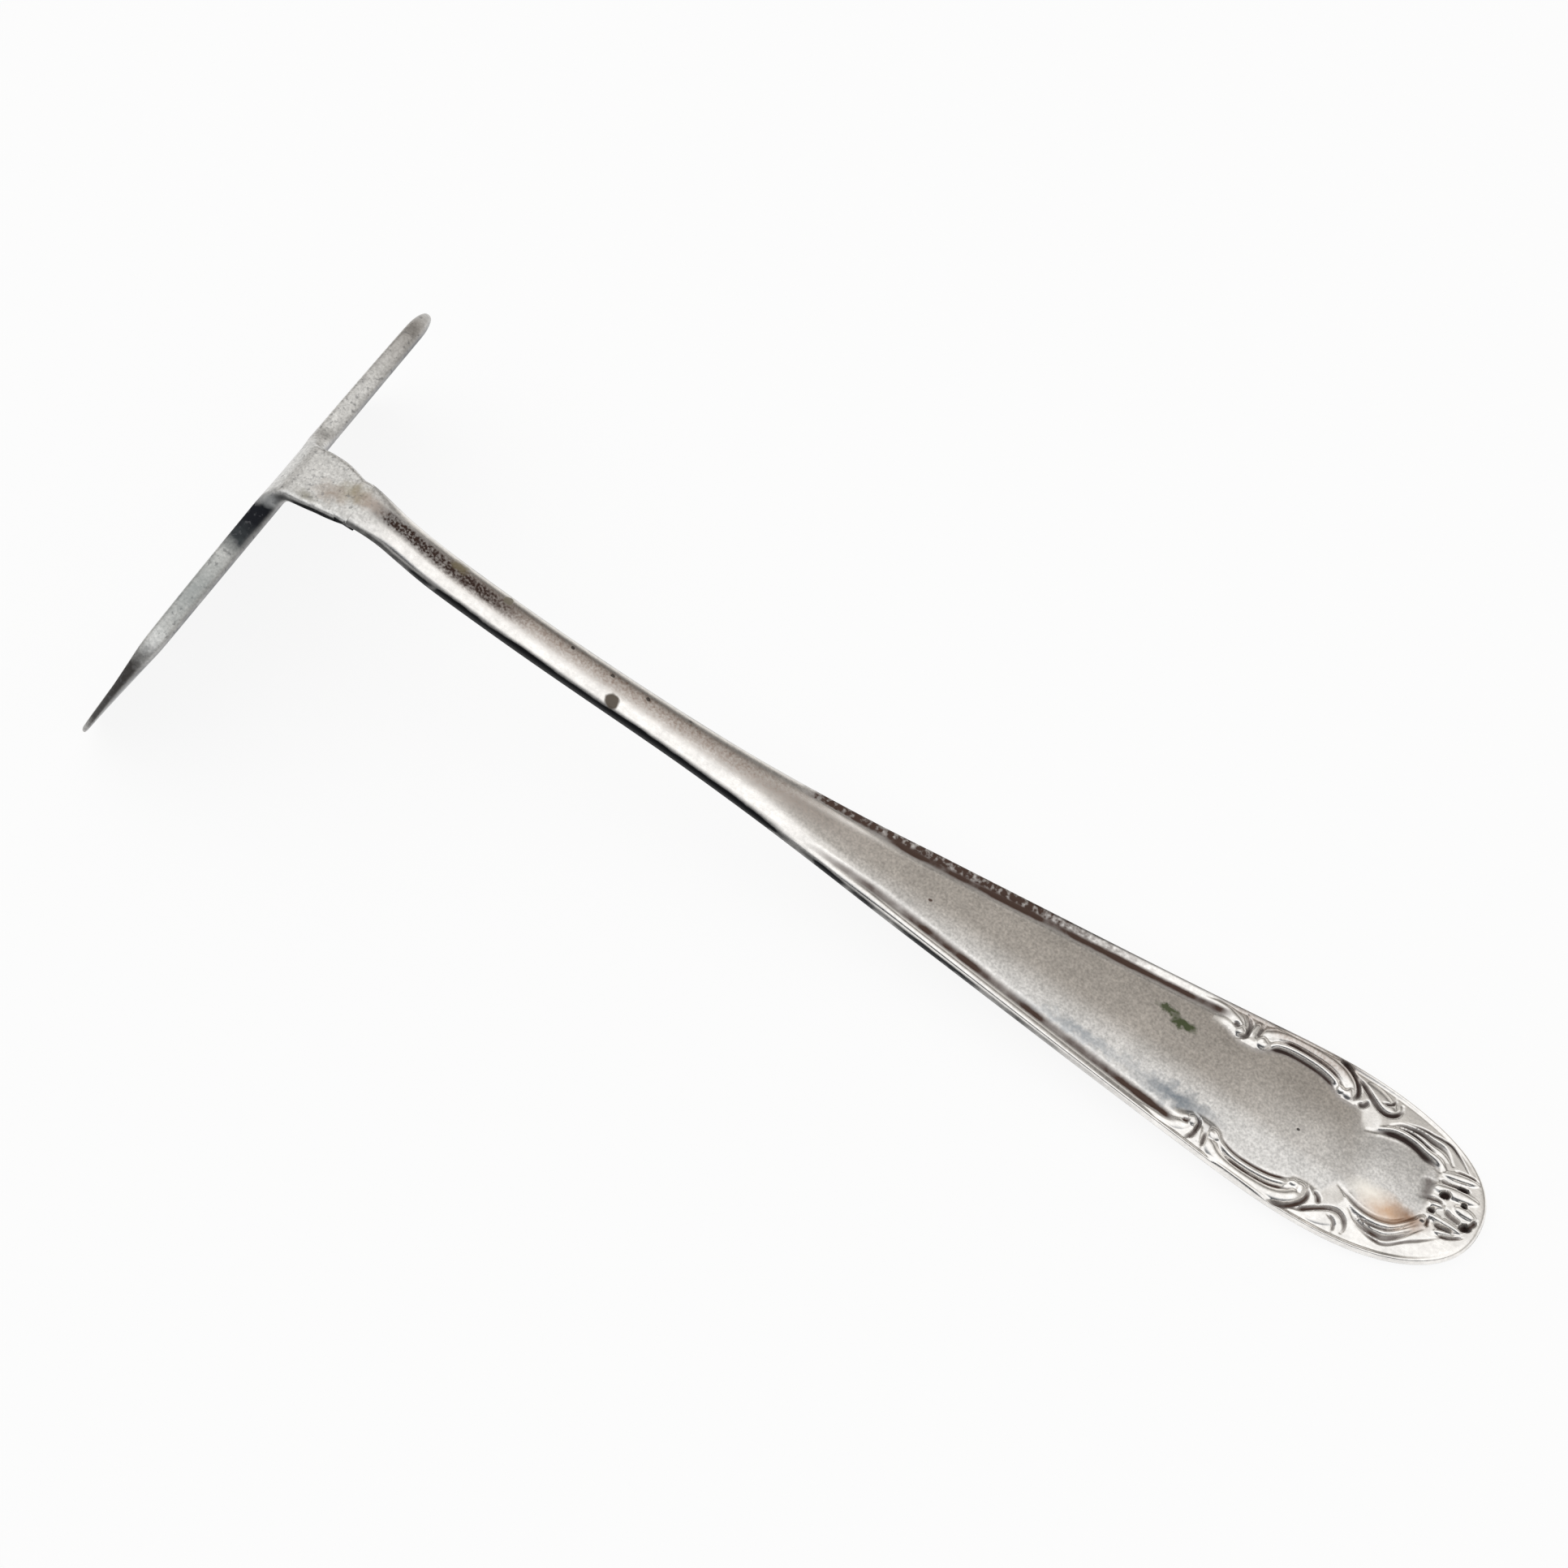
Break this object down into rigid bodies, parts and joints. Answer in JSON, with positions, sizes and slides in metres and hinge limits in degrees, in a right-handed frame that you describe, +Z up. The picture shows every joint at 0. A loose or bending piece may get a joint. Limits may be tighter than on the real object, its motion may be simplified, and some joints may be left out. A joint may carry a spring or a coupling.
{
  "type": "food pusher",
  "caption": "Child's silver-plated food pusher: struck handle with scroll rims and a palmette tip, lap-soldered to a bent sheet blade that rests on its lower edge.",
  "frame": {"origin": "on the table, under the middle of the whole part's box", "axes": "+X from the blade towards the handle's tip, +Y across the handle, +Z up from the table"},
  "size_m": [0.1216, 0.045, 0.0223],
  "materials": {
    "handle_plate": "worn silver plate, satin panel, tarnish in the grooves",
    "blade_plate": "worn silver plate, matte and finely pitted",
    "hard_solder": "dull olive-yellow hard solder"
  },
  "bodies": {
    "root": {"handle": "handle_plate", "pusher_blade": "blade_plate", "solder_seam": "hard_solder"}
  },
  "joints": []
}
